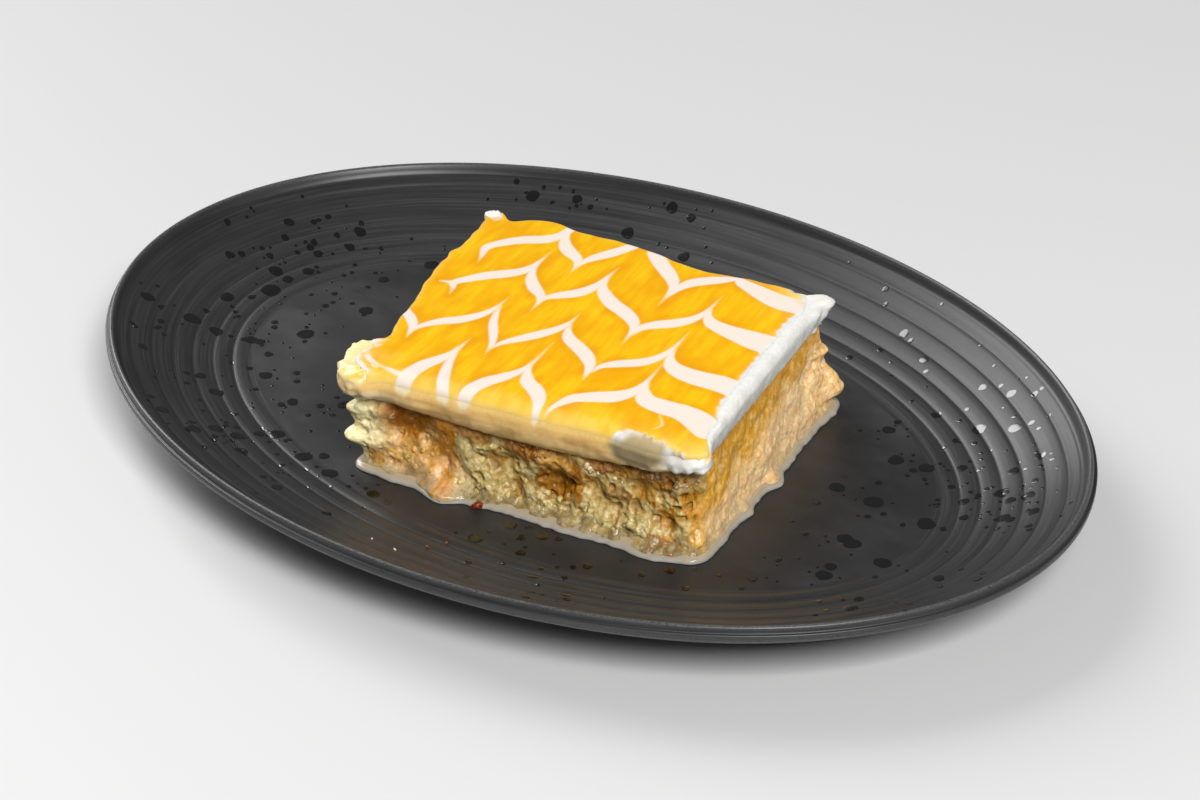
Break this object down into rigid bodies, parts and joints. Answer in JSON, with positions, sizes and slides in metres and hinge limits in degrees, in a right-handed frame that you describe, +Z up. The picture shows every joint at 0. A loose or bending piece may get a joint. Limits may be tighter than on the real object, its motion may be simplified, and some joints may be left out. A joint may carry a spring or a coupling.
{
  "type": "tres leches cake on a plate",
  "caption": "Square-cut slice of milk-soaked sponge cake with whipped cream and feathered yellow icing, standing in its milk on an oval ribbed plate.",
  "frame": {"origin": "on the table under the middle of the oval plate", "axes": "+X along the plate's length, +Y along its width away from the cake's open crumb side, +Z up"},
  "size_m": [0.3, 0.219, 0.0397],
  "materials": {
    "plate": "satin charcoal with glossy black speckles",
    "sponge": "moist open crumb with caramel-brown soaked places",
    "cream": "soft whipped cream, glossy where soaked",
    "icing": "glossy yellow with feathered white lines",
    "milk": "wet sweet milk"
  },
  "bodies": {
    "root": {"plate": "plate", "sponge": "sponge", "cream": "cream", "glaze": "icing", "milk": "milk"}
  },
  "joints": []
}
